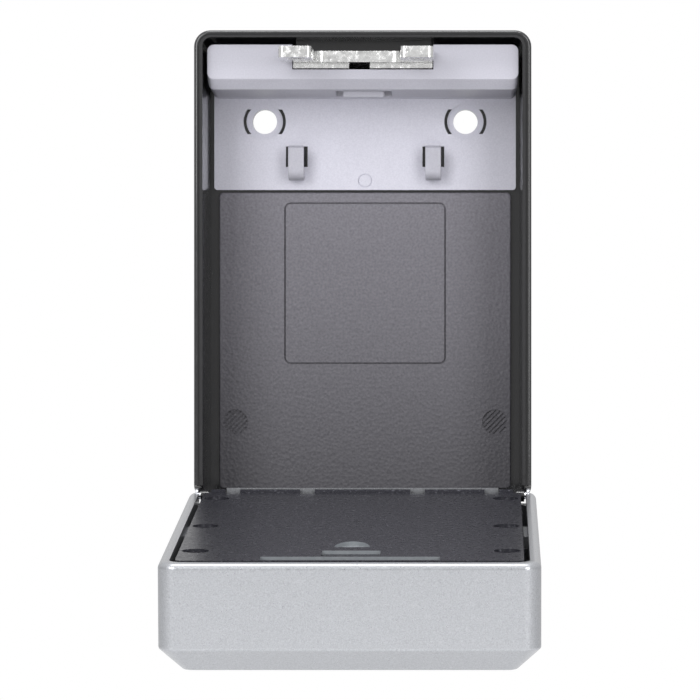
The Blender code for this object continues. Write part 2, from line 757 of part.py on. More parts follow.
def make_door_screws():
    number = 0
    for z in DOOR_SCREW_Z:
        for side in (-1, 1):
            number += 1
            x = side * DOOR_SCREW_X
            steps = [(2.6, -34.8), (3.1, -35.0), (3.1, -35.3), (1.4, -35.3), (1.4, -45.0), (0.8, -46.0)]
            body = turned("Y", x, z, steps, 16)
            screw = part("door_screw_%d" % number, [body], "dark_steel", True)
            cross = [(0.35, 1.7), (0.35, 0.35), (1.7, 0.35)]
            arms = [(x + u, z + v) for u, v in cross]
            arms += [(x + u, z - v) for u, v in reversed(cross)]
            arms += [(x - u, z - v) for u, v in cross]
            arms += [(x - u, z + v) for u, v in reversed(cross)]
            cut(screw, "drive", [prism("Y", arms, -35.2, -33.0)])


def make_dial():
    shaft = rod("X", WHEEL_Y, WHEEL_Z, SHAFT_R, -18.9, 18.9)
    part("dial_shaft", [shaft], "steel", True)
    for number, x in enumerate(wheel_centres(), 1):
        pose = (x, WHEEL_Y, WHEEL_Z)
        sides = 40
        outer = []
        for k in range(sides):
            radius = WHEEL_R - (0.5 if k % 4 == 0 else 0.0)
            turn = 2.0 * math.pi * k / sides
            outer.append((WHEEL_Y + radius * math.cos(turn), WHEEL_Z + radius * math.sin(turn)))
        inner = circle(WHEEL_Y, WHEEL_Z, WHEEL_BORE, sides)
        low, high = x - WHEEL_HALF, x + WHEEL_HALF
        part("dial_wheel_%d" % number, [prism("X", outer, low, high, inner)], "black_satin", True, pose)
        hub = WHEEL_BORE - GAP
        bore = SHAFT_R + GAP
        flange = high + 0.3
        face = flange + 0.7
        profile = [(hub, low), (hub, flange), (6.2, flange), (6.2, face), (bore, face), (bore, low)]
        body = turned("X", WHEEL_Y, WHEEL_Z, profile, hollow=True)
        cam = part("dial_cam_%d" % number, [body], "zinc", True, pose)
        gate = block(flange - 0.1, flange + 1.0, WHEEL_Y - 1.2, WHEEL_Y + 1.2, WHEEL_Z + 5.0, WHEEL_Z + 8.0)
        cut(cam, "gate", [gate])


def make_detent_spring():
    """Comb of four leaves that rest on the wheels from behind."""
    outline = [(-18.6, 8.2), (18.6, 8.2), (18.6, 12.0)]
    for x in reversed(wheel_centres()):
        outline += [(x + 2.0, 12.0), (x + 2.0, 32.0), (x - 2.0, 32.0), (x - 2.0, 12.0)]
    outline += [(-18.6, 12.0)]
    part("detent_spring", [prism("Y", outline, -42.9, -42.5)], "steel", True)


def make_bezel():
    outer = rounded(-16.5, 16.5, WHEEL_Z - 9.0, WHEEL_Z + 9.5, 1.5, 3)
    bezel = part("dial_bezel", [prism("Y", outer, BAY_FLOOR - 0.95, BAY_FLOOR - GAP)], "black_satin", True)
    windows = []
    for x in wheel_centres():
        low, high = WHEEL_Z - 7.5, WHEEL_Z + 7.5
        windows.append(block(x - 2.75, x + 2.75, BAY_FLOOR - 2.0, BAY_FLOOR + 1.0, low, high))
    cut(bezel, "windows", windows)


def make_latch():
    travel_axis = (0.0, LATCH_FRONT, LATCH_LOW)
    body = block(-LATCH_X, LATCH_X, LATCH_FRONT, LATCH_BACK, LATCH_LOW, LATCH_HIGH)
    latch = part("latch_slide", [body], "zinc", True, travel_axis)
    fingers = []
    for inner, outer in PRONGS:
        middle = (inner + outer) / 2.0
        low = rectangle(middle - 2.1, middle + 2.1, LATCH_FRONT, LATCH_BACK)
        tip = rectangle(middle - 2.1, middle + 2.1, LATCH_FRONT, LATCH_FRONT + 1.2)
        sections = [(low, LATCH_HIGH - 1.0), (low, FINGER_HIGH - 2.0), (tip, FINGER_HIGH)]
        fingers.append(loft("Z", sections))
    add(latch, "fingers", fingers)
    cut(latch, "lightening", [block(-11.0, 11.0, -55.0, -49.0, 45.0, 51.0)])


def make_release():
    stem = block(-3.0, 3.0, BAY_FLOOR - 0.5, LATCH_FRONT - GAP, 37.0, 42.0)
    release = part("release_slider", [stem], "black_satin", True, (0.0, BAY_FLOOR - GAP, 37.0))
    add(release, "button", [block(-7.5, 7.5, BAY_FLOOR - 1.5, BAY_FLOOR - GAP, 35.0, 44.0)])
    grips = [
        block(-6.5, 6.5, BAY_FLOOR - 2.0, BAY_FLOOR - 1.15, z - 0.4, z + 0.4) for z in (37.0, 39.5, 42.0)
    ]
    cut(release, "grips", grips)


def coil_points(x, low, high, radius, turns, per_turn):
    """Centre line of a compression spring with flat end turns."""
    points = []
    total = turns * per_turn
    for k in range(total + 1):
        share = k / total
        eased = min(max((share * turns - 0.75) / (turns - 1.5), 0.0), 1.0)
        angle = 2.0 * math.pi * share * turns
        across = x + radius * math.cos(angle)
        points.append((across, SPRING_Y + radius * math.sin(angle), low + (high - low) * eased))
    return points


def make_springs():
    wire = 0.35
    for side, label in ((-1, "left"), (1, "right")):
        name = "latch_spring_" + label
        points = coil_points(side * SPRING_X, SPRING_LOW + wire, LATCH_LOW - GAP - wire, 1.9, 6, 8)
        curve = bpy.data.curves.new(name + "_line", "CURVE")
        curve.dimensions = "3D"
        curve.bevel_depth = wire * MM
        curve.bevel_resolution = 0
        curve.use_fill_caps = True
        line = curve.splines.new("POLY")
        line.points.add(len(points) - 1)
        for target, point in zip(line.points, points):
            target.co = (point[0] * MM, point[1] * MM, point[2] * MM, 1.0)
        holder = bpy.data.objects.new(name + "_line", curve)
        mesh = bpy.data.meshes.new_from_object(holder)
        bpy.data.objects.remove(holder)
        spring = bpy.data.objects.new(name, mesh)
        spring.parent = PIVOT
        spring.location = -PIVOT.location
        mesh.materials.clear()
        mesh.materials.append(paint("steel"))
        PARTS.objects.link(spring)


def make_code_slider():
    """Slider in the inner plate that frees the code for changing."""
    low = CODE_LOW + GAP
    high = low + 5.3
    front = PLATE_FRONT - 1.0
    face = block(-7.9, 7.9, -38.0, front, low, high)
    slider = part("code_change_slider", [face], "black_satin", True, (0.0, front, low))
    add(slider, "flange", [block(-9.4, 9.4, -37.9, PLATE_BACK - GAP - 0.1, low - 1.5, high + 1.8)])
    grips = [block(-7.0, 7.0, front - 0.3, -33.0, z - 0.25, z + 0.25) for z in (low + 1.6, low + 3.7)]
    cut(slider, "grips", grips)


def make_weather_cover():
    """Sliding shutter that hides the dials, parked below them."""
    low = BAY_LOW + 0.2
    high = low + COVER_LENGTH
    face = FACE_Y + 0.2
    flange = RAIL_Y + 0.3
    base = BAY_FLOOR - GAP
    outline = [(-25.1, base), (-25.1, flange), (-23.6, flange), (-23.6, face)]
    outline += [(23.6, face), (23.6, flange), (25.1, flange), (25.1, base)]
    cover = part("weather_cover", [prism("Z", outline, low, high)], "black_satin", True, (0.0, base, low))
    cut(cover, "channel", [block(-17.2, 17.2, FACE_Y + 1.3, BAY_FLOOR + 1.0, low + 2.0, high + 2.0)])
    grips = [block(-10.0, 10.0, FACE_Y - 1.0, face + 0.4, z - 0.5, z + 0.5) for z in (-2.0, 0.5, 3.0)]
    cut(cover, "grips", grips)


make_housing()
make_hinge_pins()
make_hook_panel()
make_hooks()
make_liner()
make_strike()
make_door_shell()
make_back_plate()
make_door_screws()
make_dial()
make_detent_spring()
make_bezel()
make_latch()
make_release()
make_springs()
make_code_slider()
make_weather_cover()
bpy.context.view_layer.update()
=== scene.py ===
"""Looks for the wall-mounted key lock box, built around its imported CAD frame.

Shapes are laid out in millimetres with the cover shut; cover pieces are then turned open about
the hinge axis, so every piece lands on its CAD node.
"""

import math

import bmesh
import bpy
from mathutils import Matrix, Vector


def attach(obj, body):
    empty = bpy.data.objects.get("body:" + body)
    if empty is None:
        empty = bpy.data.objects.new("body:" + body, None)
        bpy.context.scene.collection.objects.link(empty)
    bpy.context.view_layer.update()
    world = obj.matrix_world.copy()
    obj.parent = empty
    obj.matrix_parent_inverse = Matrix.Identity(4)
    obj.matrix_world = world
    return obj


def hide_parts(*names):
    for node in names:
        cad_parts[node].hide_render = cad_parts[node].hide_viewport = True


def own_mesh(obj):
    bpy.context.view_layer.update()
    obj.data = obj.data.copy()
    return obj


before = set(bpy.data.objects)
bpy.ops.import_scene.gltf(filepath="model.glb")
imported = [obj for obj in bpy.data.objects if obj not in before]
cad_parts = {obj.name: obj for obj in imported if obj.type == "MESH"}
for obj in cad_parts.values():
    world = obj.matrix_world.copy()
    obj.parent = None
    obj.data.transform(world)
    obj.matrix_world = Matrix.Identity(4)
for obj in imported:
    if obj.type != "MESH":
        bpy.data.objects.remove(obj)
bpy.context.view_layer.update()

MM = 0.001
GAP = 0.3

# wall body
BODY_X = 51.6
BODY_Z = 72.1
BODY_DEPTH = 34.0
BODY_CORNER = 5.0
BACK_WALL = 3.0
CAVITY_X = 48.85
CAVITY_TOP = 69.8
CAVITY_FLOOR = -69.9
CAVITY_DRAFT = 0.85
LIP_OUTER_X = 49.7
LIP_TOP = 70.45
LIP_REACH = 36.0
LIP_FOOT = -64.0
FIXING_X = 31.3
FIXING_Z = 45.5
FIXING_R = 3.8
LOWER_FIXING_X = 40.5
LOWER_FIXING_Z = -48.2

# hinge
HINGE_Y = -35.0
HINGE_Z = -70.2
OPEN_ANGLE = 96.1
PIN_R = 1.1
EAR_R = 1.85
EAR_IN = 47.0
EAR_OUT = 49.4
RELIEF_R = 3.3

# hook panel and liner
PANEL_X = 47.0
PANEL_Y = -5.0
PANEL_BACK = -BACK_WALL - GAP
PANEL_BOTTOM = 24.2
PANEL_TOP = 67.8
BOX_FRONT = -32.0
BOX_FRONT_X = 47.6
BOX_FRONT_BOTTOM = 57.2
BOX_UNDER_FRONT = 54.2
BOX_UNDER_BACK = 52.6
WINDOW_X = 21.6
WINDOW_BOTTOM = 60.2
HOOK_X = 21.3
HOOK_WIDTH = 4.9
HOOK_TOP = 37.8
HOOK_FOOT = 27.2
HOOK_FLOOR = 31.4
HOOK_INNER_Y = -9.9
HOOK_OUTER_Y = -11.8
LINER_X = 45.5
LINER_TOP = 23.4
LINER_BOTTOM = -69.0
SLANT = 0.7071  # sine of 45 degrees

# strike
STRIKE_LOW = 62.2
STRIKE_HIGH = 65.6
STRIKE_FRONT = -36.0
STRIKE_NECK_X = 21.2
PRONG_TIP = -60.0
PRONGS = ((-24.7, -14.7), (12.0, 21.9))
KEEPER_Y = -52.0
KEEPER_HALF = 2.5
STRIKE_SCREW_X = 14.0
STRIKE_SCREW_Y = -14.0
FLANGES = ((-21.3, -4.2), (2.2, 21.3))

# cover
DOOR_X = 53.0
DOOR_Z = 73.0
RIM_Y = -34.0
FACE_Y = -65.0
DOOR_CHAMFER = 6.7
SKIN = 0.01  # keeps the rounder edges inside the CAD box
DOOR_INNER_X = 49.9
DOOR_INNER_LOW = -70.4
DOOR_INNER_TOP = 70.75
RIM_ROUND = 2.0
PLATE_X = 48.25
PLATE_LOW = -69.5
PLATE_TOP = 69.3
PLATE_FRONT = -33.8
PLATE_BACK = -36.2
DOOR_SCREW_X = 43.6
DOOR_SCREW_Z = (-55.5, 2.5, 51.0)
NOTCH_X = (-39.5, -16.8, 16.8, 39.5)
NOTCH_HALF = 2.25
PLATE_LIP = -32.95
THUMB_FLAT = 44.0
THUMB_LENGTH = 11.0
CODE_LOW = 50.6
CODE_HIGH = 60.6

# front bay and dials
BAY_X = 24.0
BAY_RAIL_X = 25.5
BAY_LOW = -31.2
BAY_TOP = 47.6
BAY_FLOOR = -62.0
RAIL_Y = -63.6
COVER_LENGTH = 38.8
WHEEL_COUNT = 4
WHEEL_PITCH = 6.2
WHEEL_HALF = 2.4
WHEEL_R = 9.8
WHEEL_BORE = 4.6
WHEEL_Y = -53.4
WHEEL_Z = 20.0
WHEEL_FACES = 10
DIGIT_SIZE = 4.2
LATCH_LOW = 37.0
SPRING_X = 22.3
SPRING_Y = -52.0
SPRING_LOW = 19.8

# stage
FLOOR_HALF = 3000.0
FLOOR_Z = -370.0
GLOW_LOW = 0.32
GLOW_HIGH = 1.0
LIGHTS = (
    ("key", (-0.55, -1.15, 0.4), (0.0, -0.05, 0.0), 0.5, 0.7, 7.0),
    ("fill", (0.6, -1.15, 0.3), (0.0, -0.05, 0.0), 0.4, 0.8, 5.0),
    ("top", (0.0, -0.5, 1.2), (0.0, -0.2, -0.1), 0.9, 0.25, 8.0),
)

# camera: level, in front of the body, a little right of and below its middle
CAMERA = (37.5, -1470.7, -25.7)
CAMERA_LENS = 241.7
CAMERA_SHIFT = -0.1933

HINGE = Vector((0.0, HINGE_Y, HINGE_Z)) * MM
OPENING = (
    Matrix.Translation(HINGE)
    @ Matrix.Rotation(math.radians(OPEN_ANGLE), 4, "X")
    @ Matrix.Translation(-HINGE)
)

# ------------------------------------------------------------ outlines and bodies


def rounded(u_low, u_high, v_low, v_high, radius, steps=8):
    """Outline of a rounded rectangle, anticlockwise."""
    corners = (
        (u_high - radius, v_high - radius, 0.0),
        (u_low + radius, v_high - radius, 90.0),
        (u_low + radius, v_low + radius, 180.0),
        (u_high - radius, v_low + radius, 270.0),
    )
    points = []
    for u, v, start in corners:
        points += arc(u, v, radius, start, start + 90.0, steps)
    return points


def rectangle(u_low, u_high, v_low, v_high):
    return [(u_high, v_high), (u_low, v_high), (u_low, v_low), (u_high, v_low)]


def circle(u, v, radius, sides=48):
    turn = 2.0 * math.pi / sides
    return [(u + radius * math.cos(turn * k), v + radius * math.sin(turn * k)) for k in range(sides)]


def arc(u, v, radius, start, end, steps):
    """Points on an arc, both ends included, angles in degrees."""
    points = []
    for step in range(steps + 1):
        angle = math.radians(start + (end - start) * step / steps)
        points.append((u + radius * math.cos(angle), v + radius * math.sin(angle)))
    return points


def solid(axis, sections):
    """A capped body through outlines of one point count, each with its level on the axis."""
    return axis, sections, False


def ring(axis, sections):
    """A body that closes on itself, its last outline joined to its first."""
    return axis, sections, True


def prism(axis, outline, low, high):
    return solid(axis, [(outline, low), (outline, high)])


def block(x_low, x_high, y_low, y_high, z_low, z_high):
    return prism("Z", rectangle(x_low, x_high, y_low, y_high), z_low, z_high)


def rod(axis, u, v, radius, low, high, sides=48):
    return prism(axis, circle(u, v, radius, sides), low, high)


def stepped_rod(axis, u, v, steps, sides=48):
    """A turned body from (radius, level) pairs."""
    return solid(axis, [(circle(u, v, radius, sides), level) for radius, level in steps])


def position(axis, u, v, level):
    if axis == "X":
        return level, u, v
    if axis == "Y":
        return u, level, v
    return u, v, level


def add_body(bm, body):
    axis, sections, closed = body
    rings = []
    for outline, level in sections:
        rings.append([bm.verts.new(Vector(position(axis, u, v, level)) * MM) for u, v in outline])
    pairs = list(zip(rings, rings[1:]))
    if closed:
        pairs.append((rings[-1], rings[0]))
    else:
        bm.faces.new(rings[0])
        bm.faces.new(rings[-1])
    for first, second in pairs:
        count = len(first)
        for k in range(count):
            after = (k + 1) % count
            bm.faces.new((first[k], first[after], second[after], second[k]))


def shape(name, bodies):
    """A mesh object from bodies that don't touch one another."""
    bm = bmesh.new()
    for body in bodies:
        add_body(bm, body)
    bmesh.ops.recalc_face_normals(bm, faces=bm.faces[:])
    mesh = bpy.data.meshes.new(name)
    bm.to_mesh(mesh)
    bm.free()
    made = bpy.data.objects.new(name, mesh)
    bpy.context.scene.collection.objects.link(made)
    return made


class Piece:
    """One visible piece, shaped step by step and then settled into a plain mesh."""

    def __init__(self, name, bodies):
        self.object = shape(name, bodies)
        self.tools = []

    def combine(self, bodies, operation):
        tool = shape(self.object.name + "_tool", bodies)
        modifier = self.object.modifiers.new("tool", "BOOLEAN")
        modifier.operation = operation
        modifier.object = tool
        modifier.solver = "EXACT"
        self.tools.append(tool)

    def cut(self, bodies):
        self.combine(bodies, "DIFFERENCE")

    def add(self, bodies):
        self.combine(bodies, "UNION")

    def ease(self, width, segments=2, angle=40.0):
        """Small rounding on every sharp edge left by the cuts."""
        modifier = self.object.modifiers.new("ease", "BEVEL")
        modifier.width = width * MM
        modifier.segments = segments
        modifier.limit_method = "ANGLE"
        modifier.angle_limit = math.radians(angle)
        modifier.miter_outer = "MITER_ARC"

    def settle(self):
        """Apply the modifiers and drop the tools."""
        graph = bpy.context.evaluated_depsgraph_get()
        mesh = bpy.data.meshes.new_from_object(self.object.evaluated_get(graph))
        self.object.modifiers.clear()
        self.object.data = mesh
        for tool in self.tools:
            bpy.data.objects.remove(tool)
        self.tools = []


def finish_piece(piece, material, nodes, body, on_cover, second=None, chosen=None):
    """Smooth, paint, turn open where needed, and hang on the CAD body."""
    piece.settle()
    made = piece.object
    mesh = made.data
    mesh.materials.clear()
    mesh.materials.append(material)
    if second is not None:
        mesh.materials.append(second)
        for face in mesh.polygons:
            if chosen(face.center / MM):
                face.material_index = 1
    if on_cover:
        mesh.transform(OPENING)
    mesh.shade_smooth()
    mesh.set_sharp_from_angle(angle=math.radians(32.0))
    made.modifiers.new("normals", "WEIGHTED_NORMAL").keep_sharp = True
    piece.settle()
    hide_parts(*nodes)
    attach(made, body)


# ------------------------------------------------------------ materials


class Finish:
    """A Principled material with object coordinates ready for its noise."""

    def __init__(self, name, colour, metallic, roughness):
        self.material = bpy.data.materials.new(name)
        self.material.use_nodes = True
        self.nodes = self.material.node_tree.nodes
        self.links = self.material.node_tree.links
        self.shader = self.nodes["Principled BSDF"]
        self.set("Base Color", (*colour, 1.0))
        self.set("Metallic", metallic)
        self.set("Roughness", roughness)
        self.place = self.nodes.new("ShaderNodeTexCoord").outputs["Object"]

    def set(self, socket, value):
        self.shader.inputs[socket].default_value = value

    def noise(self, size_mm, detail=2.0):
        """Noise whose features are about size_mm across."""
        node = self.nodes.new("ShaderNodeTexNoise")
        node.inputs["Scale"].default_value = 1.0 / (size_mm * MM)
        node.inputs["Detail"].default_value = detail
        self.links.new(self.place, node.inputs["Vector"])
        return node.outputs["Fac"]

    def cells(self, size_mm):
        """Rounded cells about size_mm across."""
        node = self.nodes.new("ShaderNodeTexVoronoi")
        node.inputs["Scale"].default_value = 1.0 / (size_mm * MM)
        self.links.new(self.place, node.inputs["Vector"])
        return node.outputs["Distance"]

    def spread(self, source, low, high, out_low, out_high):
        """Map a value from one range to another."""
        node = self.nodes.new("ShaderNodeMapRange")
        node.inputs["From Min"].default_value = low
        node.inputs["From Max"].default_value = high
        node.inputs["To Min"].default_value = out_low
        node.inputs["To Max"].default_value = out_high
        self.links.new(source, node.inputs["Value"])
        return node.outputs["Result"]

    def shade_along(self, axis, start_mm, end_mm, start, end):
        """Multiply the base colour by a factor that changes along one axis, painting light and shade."""
        split = self.nodes.new("ShaderNodeSeparateXYZ")
        self.links.new(self.place, split.inputs["Vector"])
        factor = self.spread(split.outputs[axis], start_mm * MM, end_mm * MM, start, end)
        scale = self.nodes.new("ShaderNodeVectorMath")
        scale.operation = "SCALE"
        base = self.shader.inputs["Base Color"]
        self.links.new(base.links[0].from_socket, scale.inputs[0])
        self.links.new(factor, scale.inputs["Scale"])
        self.links.new(scale.outputs["Vector"], base)

    def tint(self, source, first, second):
        """Base colour that runs between two colours as source goes from 0 to 1."""
        ramp = self.nodes.new("ShaderNodeValToRGB")
        ramp.color_ramp.elements[0].color = (*first, 1.0)
        ramp.color_ramp.elements[1].color = (*second, 1.0)
        self.links.new(source, ramp.inputs["Fac"])
        self.links.new(ramp.outputs["Color"], self.shader.inputs["Base Color"])

    def rough(self, source):
        self.links.new(source, self.shader.inputs["Roughness"])

    def bump(self, source, strength, distance_mm):
        """One layer of bump on top of any earlier layer."""
        node = self.nodes.new("ShaderNodeBump")
        node.inputs["Strength"].default_value = strength
        node.inputs["Distance"].default_value = distance_mm * MM
        self.links.new(source, node.inputs["Height"])
        normal = self.shader.inputs["Normal"]
        if normal.is_linked:
            self.links.new(normal.links[0].from_socket, node.inputs["Normal"])
        self.links.new(node.outputs["Normal"], normal)


def black_cast():
    """Gloss black paint over a casting, with a slight orange peel."""
    look = Finish("look_black_cast", (0.006, 0.006, 0.007), 0.0, 0.16)
    look.set("Specular IOR Level", 0.5)
    look.set("Coat Weight", 0.45)
    look.set("Coat Roughness", 0.05)
    look.tint(look.noise(9.0), (0.012, 0.012, 0.013), (0.018, 0.018, 0.020))
    look.rough(look.spread(look.noise(3.0, 4.0), 0.3, 0.7, 0.12, 0.22))
    look.bump(look.noise(1.6, 3.0), 0.12, 0.05)
    return look.material


def silver_paint():
    """Silver-grey metallic paint with fine flakes under a clear coat."""
    look = Finish("look_silver_paint", (0.47, 0.48, 0.51), 0.8, 0.35)
    look.set("Coat Weight", 0.25)
    look.set("Coat Roughness", 0.18)
    speckle = look.spread(look.noise(0.35, 3.0), 0.25, 0.75, 0.0, 1.0)
    look.tint(speckle, (0.325, 0.333, 0.352), (0.455, 0.465, 0.49))
    look.rough(look.spread(look.noise(0.5, 2.0), 0.3, 0.7, 0.27, 0.38))
    look.bump(look.noise(0.45, 3.0), 0.22, 0.04)
    return look.material


def light_plastic():
    """Moulded light lavender-grey plastic with a fine spark-eroded grain, darkened toward the front as
    painted shade.
    """
    look = Finish("look_light_plastic", (0.60, 0.59, 0.67), 0.0, 0.42)
    speckle = look.spread(look.noise(0.4, 2.0), 0.3, 0.7, 0.0, 1.0)
    look.tint(speckle, (0.54, 0.535, 0.61), (0.61, 0.605, 0.68))
    # painted shade: base colour darkened toward the front, so the raised box and the hooks read darker
    # than the deep back plate
    look.shade_along("Y", -11.0, -5.5, 0.72, 1.0)
    look.rough(look.spread(look.noise(0.6, 3.0), 0.3, 0.7, 0.36, 0.5))
    look.bump(look.noise(0.4, 2.0), 0.15, 0.04)
    return look.material


def dark_liner():
    """Dark grey plastic with a leather-like grain, and painted light and shade running from darker at
    the bottom to brighter at the top.
    """
    look = Finish("look_dark_liner", (0.09, 0.085, 0.105), 0.0, 0.5)
    speckle = look.spread(look.noise(0.7, 3.0), 0.3, 0.7, 0.0, 1.0)
    look.tint(speckle, (0.085, 0.082, 0.096), (0.125, 0.12, 0.138))
    # painted light and shade: base colour darker toward the bottom and brighter toward the top
    look.shade_along("Z", -69.0, 24.0, 0.55, 1.5)
    look.rough(look.spread(look.noise(0.8, 3.0), 0.3, 0.7, 0.4, 0.6))
    look.bump(look.cells(1.1), 0.5, 0.2)
    look.bump(look.noise(0.4, 3.0), 0.2, 0.05)
    return look.material


def bright_zinc():
    """Bare bright casting with a hammered skin."""
    look = Finish("look_bright_zinc", (0.80, 0.80, 0.81), 1.0, 0.18)
    look.tint(look.noise(3.2, 4.0), (0.62, 0.62, 0.62), (0.98, 0.98, 0.97))
    look.rough(look.spread(look.noise(1.5, 4.0), 0.3, 0.7, 0.12, 0.32))
    look.bump(look.noise(2.4, 2.0), 0.6, 0.35)
    look.bump(look.noise(0.6, 3.0), 0.2, 0.05)
    return look.material


def black_satin():
    """Satin black plate, faintly mottled."""
    look = Finish("look_black_satin", (0.035, 0.035, 0.042), 0.0, 0.3)
    look.set("Specular IOR Level", 0.35)
    speckle = look.spread(look.noise(0.8, 4.0), 0.58, 0.8, 0.0, 1.0)
    look.tint(speckle, (0.022, 0.022, 0.028), (0.14, 0.14, 0.16))
    look.rough(look.spread(look.noise(1.2, 4.0), 0.3, 0.7, 0.22, 0.38))
    look.bump(look.noise(0.5, 3.0), 0.15, 0.04)
    return look.material


def plated_steel():
    """Plated steel with faint turning marks."""
    look = Finish("look_plated_steel", (0.62, 0.63, 0.66), 1.0, 0.28)
    look.tint(look.noise(1.5, 3.0), (0.50, 0.51, 0.55), (0.70, 0.71, 0.73))
    look.rough(look.spread(look.noise(0.4, 3.0), 0.3, 0.7, 0.2, 0.38))
    look.bump(look.noise(0.3, 2.0), 0.12, 0.03)
    return look.material


def dark_steel():
    """Blackened steel with faint turning marks."""
    look = Finish("look_dark_steel", (0.06, 0.06, 0.065), 1.0, 0.3)
    look.tint(look.noise(1.2, 3.0), (0.04, 0.04, 0.045), (0.10, 0.10, 0.105))
    look.rough(look.spread(look.noise(0.4, 3.0), 0.3, 0.7, 0.22, 0.4))
    look.bump(look.noise(0.3, 2.0), 0.12, 0.03)
    return look.material


def bare_edge_grey():
    """Light grey where the plate's cut walls face the light: a painted highlight."""
    look = Finish("look_painted_highlight", (0.2, 0.215, 0.23), 0.0, 0.45)
    look.tint(look.noise(1.5, 3.0), (0.16, 0.175, 0.19), (0.24, 0.255, 0.27))
    look.rough(look.spread(look.noise(0.5, 3.0), 0.3, 0.7, 0.38, 0.54))
    look.bump(look.noise(0.4, 3.0), 0.2, 0.04)
    return look.material


def digit_white():
    """White filled numerals."""
    look = Finish("look_digit_white", (0.85, 0.85, 0.83), 0.0, 0.5)
    look.tint(look.noise(0.8, 3.0), (0.78, 0.78, 0.76), (0.9, 0.9, 0.88))
    look.rough(look.spread(look.noise(0.4, 2.0), 0.3, 0.7, 0.42, 0.58))
    return look.material


def pale_floor():
    """Matt near-white floor."""
    look = Finish("look_floor", (0.9, 0.9, 0.9), 0.0, 0.8)
    look.tint(look.noise(400.0, 2.0), (0.88, 0.88, 0.88), (0.92, 0.92, 0.92))
    return look.material


BLACK = black_cast()
SILVER = silver_paint()
LIGHT = light_plastic()
LINER = dark_liner()
ZINC = bright_zinc()
SATIN = black_satin()
STEEL = plated_steel()
DARK_STEEL = dark_steel()
HIGHLIGHT_PAINT = bare_edge_grey()
WHITE = digit_white()

# ------------------------------------------------------------ wall body


def quarter_round(radius, steps=5):
    """(inset, depth) pairs of a quarter round, from its end face to its side."""
    pairs = []
    for step in range(steps + 1):
        angle = math.radians(90.0 * step / steps)
        pairs.append((radius * (1.0 - math.sin(angle)), radius * (1.0 - math.cos(angle))))
    return pairs


def housing_sections():
    """Outer form of the cast body, its edges rounded front and rear."""
    rear = [(inset, -depth) for inset, depth in quarter_round(0.8, 3)]
    front = [(inset, -BODY_DEPTH + depth) for inset, depth in reversed(quarter_round(0.9))]
    sections = []
    for inset, level in rear + front:
        half_x, half_z = BODY_X - inset, BODY_Z - inset
        outline = rounded(-half_x, half_x, -half_z, half_z, BODY_CORNER - inset)
        sections.append((outline, level))
    return sections


def arch(outer_x, outer_top, outer_r, inner_x, inner_top, inner_r, foot):
    """Upturned U that runs up both sides and across the top."""
    outer = arc(outer_x - outer_r, outer_top - outer_r, outer_r, 0.0, 90.0, 8)
    outer += arc(-outer_x + outer_r, outer_top - outer_r, outer_r, 90.0, 180.0, 8)
    outer = [(outer_x, foot)] + outer + [(-outer_x, foot)]
    inside = arc(-inner_x + inner_r, inner_top - inner_r, inner_r, 180.0, 90.0, 8)
    inside += arc(inner_x - inner_r, inner_top - inner_r, inner_r, 90.0, 0.0, 8)
    return outer + [(-inner_x, foot)] + inside + [(inner_x, foot)]


def cavity_sections():
    """Drafted interior, narrowing slightly toward the rear."""
    sections = []
    for narrowing, level in ((0.0, -37.0), (0.0, -BODY_DEPTH), (CAVITY_DRAFT, -BACK_WALL)):
        half = CAVITY_X - narrowing
        sections.append((rounded(-half, half, CAVITY_FLOOR, CAVITY_TOP - narrowing, 2.6), level))
    return sections


def ear_outline():
    nose = arc(HINGE_Y, HINGE_Z, EAR_R, 90.0, 270.0, 16)
    return nose + [(-30.5, HINGE_Z - EAR_R), (-30.5, HINGE_Z + EAR_R)]


def make_housing():
    piece = Piece("body_casting", [solid("Y", housing_sections())])
    lip = arch(LIP_OUTER_X, LIP_TOP, 3.4, CAVITY_X - 0.4, CAVITY_TOP - 0.4, 2.4, LIP_FOOT)
    groove = arch(50.3, 71.0, 3.9, LIP_OUTER_X, LIP_TOP, 3.4, -80.0)
    piece.cut([prism("Y", groove, -33.4, -36.0)])
    piece.add([prism("Y", lip, -33.2, -LIP_REACH)])
    piece.cut([solid("Y", cavity_sections())])
    piece.cut([block(-53.0, 53.0, -38.0, -31.7, -74.0, -69.0)])
    piece.cut([rod("X", HINGE_Y, HINGE_Z, RELIEF_R, -53.5, 53.5, 60)])
    holes = []
    for side in (-1, 1):
        holes.append(rod("Y", side * FIXING_X, FIXING_Z, FIXING_R, -4.0, 1.0, 64))
        holes.append(rod("Y", side * LOWER_FIXING_X, LOWER_FIXING_Z, 3.0, -4.0, 1.0))
    piece.cut(holes)
    piece.add([block(-20.8, 20.8, -22.0, -6.0, 66.0, 70.6)])
    piece.add([prism("X", ear_outline(), s * EAR_IN, s * EAR_OUT) for s in (-1, 1)])
    piece.cut([rod("X", HINGE_Y, HINGE_Z, PIN_R + 0.05, s * 46.5, s * 49.9) for s in (-1, 1)])
    piece.ease(0.22, 3)
    finish_piece(piece, BLACK, ["housing"], "wall_body", False)


def box_sections():
    """Raised box of the hook panel, its underside stepping forward and up."""
    levels = (
        (PANEL_BACK, PANEL_X, BOX_UNDER_BACK),
        (PANEL_Y, PANEL_X, BOX_UNDER_BACK),
        (-29.5, BOX_FRONT_X - 0.1, BOX_UNDER_FRONT),
        (BOX_FRONT, BOX_FRONT_X, BOX_FRONT_BOTTOM),
    )
    return [(rounded(-half, half, low, PANEL_TOP, 2.0), level) for level, half, low in levels]


def crescent(centre_u, centre_v, inner, outer, half_height, side):
    """Arc-shaped slot beside a round pad, cut flat above and below."""
    wide = math.degrees(math.asin(half_height / outer))
    narrow = math.degrees(math.asin(half_height / inner))
    middle = 0.0 if side > 0 else 180.0
    far = arc(centre_u, centre_v, outer, middle - wide, middle + wide, 16)
    near = arc(centre_u, centre_v, inner, middle + narrow, middle - narrow, 16)
    return far + near


